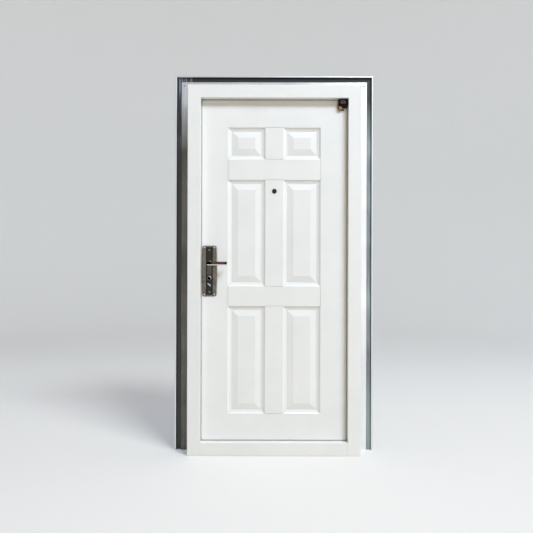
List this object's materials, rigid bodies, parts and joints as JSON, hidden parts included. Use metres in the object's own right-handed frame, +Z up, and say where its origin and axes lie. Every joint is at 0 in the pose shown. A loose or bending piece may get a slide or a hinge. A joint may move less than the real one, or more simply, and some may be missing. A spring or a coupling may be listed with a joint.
{
  "type": "front door set",
  "caption": "Panelled steel front door in its folded frame, with lever handles, lock, thumb-turn, snib, peephole and butt hinges; the leaf swings and the bolts slide.",
  "frame": {"origin": "foot of the frame, in the middle of its width and of the leaf's thickness", "axes": "+Z up, +X from the lock side to the hinge side, -Y towards the side with the stop, away from which the leaf opens"},
  "size_m": [1.13, 0.183, 2.135],
  "materials": {
    "white_paint": "satin",
    "galvanised": "matte",
    "seal_rubber": "matte",
    "zinc_steel": "satin",
    "satin_nickel": "satin",
    "black_strip": "gloss",
    "lever_nickel": "polished",
    "bright_nickel": "polished",
    "dark_bronze": "satin",
    "brass": "polished",
    "lens_glass": "polished",
    "honeycomb_board": "matte"
  },
  "bodies": {
    "frame_body": {"hinge_jamb": "white_paint", "lock_jamb": "white_paint", "frame_head": "white_paint", "door_sill": "white_paint", "hinge_side_casing": "galvanised", "lock_side_casing": "galvanised", "top_casing": "galvanised", "stop_seal": "seal_rubber", "casing_rivets": "zinc_steel", "strike_plate": "zinc_steel", "strike_screws": "zinc_steel", "strike_dust_box": "galvanised", "bottom_hinge_jamb_plate": "zinc_steel", "middle_hinge_jamb_plate": "zinc_steel", "top_hinge_jamb_plate": "zinc_steel", "bottom_hinge_pin": "zinc_steel", "middle_hinge_pin": "zinc_steel", "top_hinge_pin": "zinc_steel"},
    "leaf_body": {"inner_skin": "white_paint", "outer_skin": "white_paint", "lock_stile_channel": "galvanised", "hinge_stile_channel": "galvanised", "bottom_rail_channel": "galvanised", "top_rail_channel": "galvanised", "honeycomb_core": "honeycomb_board", "forend": "zinc_steel", "forend_screws": "zinc_steel", "lock_case": "zinc_steel", "lock_cover": "zinc_steel", "latch_spring": "zinc_steel", "cylinder_body": "brass", "cylinder_screw": "zinc_steel", "inner_plate": "satin_nickel", "inner_strip": "black_strip", "outer_plate": "satin_nickel", "outer_strip": "black_strip", "plate_studs": "bright_nickel", "plate_screws": "bright_nickel", "peephole_barrel": "dark_bronze", "peephole_eyepiece": "dark_bronze", "peephole_lenses": "lens_glass", "corner_bracket": "dark_bronze", "corner_boss": "brass", "corner_screw": "dark_bronze", "bottom_hinge_leaf_plate": "zinc_steel", "middle_hinge_leaf_plate": "zinc_steel", "top_hinge_leaf_plate": "zinc_steel"},
    "lever_set": {"inner_lever": "lever_nickel", "outer_lever": "lever_nickel", "spindle": "zinc_steel", "lock_follower": "zinc_steel"},
    "latch": {"latch_bolt": "zinc_steel"},
    "bolt_set": {"deadbolts": "zinc_steel", "bolt_carriage": "zinc_steel"},
    "turn_set": {"thumb_turn": "bright_nickel", "cylinder_plug": "brass", "cylinder_cam": "brass"},
    "night_set": {"night_bolt": "zinc_steel"},
    "snib_set": {"snib_shaft": "zinc_steel", "snib_knob": "bright_nickel"}
  },
  "joints": [
    {"name": "leaf_swing", "type": "hinge", "parent": "frame_body", "child": "leaf_body", "pos_m": [0.42975, 0.0455, 1.027], "axis": [0, 0, -1], "range_deg": [0, 170]},
    {"name": "lever_turn", "type": "hinge", "parent": "leaf_body", "child": "lever_set", "pos_m": [-0.361, 0, 1.062], "axis": [0, 1, 0], "range_deg": [0, 45], "stiffness_Nm_per_rad": 1.5, "springref_deg": -28.65},
    {"name": "latch_slide", "type": "slide", "parent": "leaf_body", "child": "latch", "axis": [-1, 0, 0], "range_m": [0, 0.012]},
    {"name": "thumb_turn_spin", "type": "hinge", "parent": "leaf_body", "child": "turn_set", "pos_m": [-0.361, 0, 0.981], "axis": [0, -1, 0], "range_deg": [0, 90]},
    {"name": "deadbolt_slide", "type": "slide", "parent": "leaf_body", "child": "bolt_set", "axis": [-1, 0, 0], "range_m": [0, 0.0201]},
    {"name": "snib_turn", "type": "hinge", "parent": "leaf_body", "child": "snib_set", "pos_m": [-0.361, 0, 0.944], "axis": [0, 1, 0], "range_deg": [0, 90]},
    {"name": "night_bolt_slide", "type": "slide", "parent": "leaf_body", "child": "night_set", "axis": [-1, 0, 0], "range_m": [0, 0.0095]}
  ],
  "couplings": [
    {"joint": "deadbolt_slide", "follows": "thumb_turn_spin", "m_per_rad": 0.01275},
    {"joint": "night_bolt_slide", "follows": "snib_turn", "m_per_rad": 0.006}
  ]
}
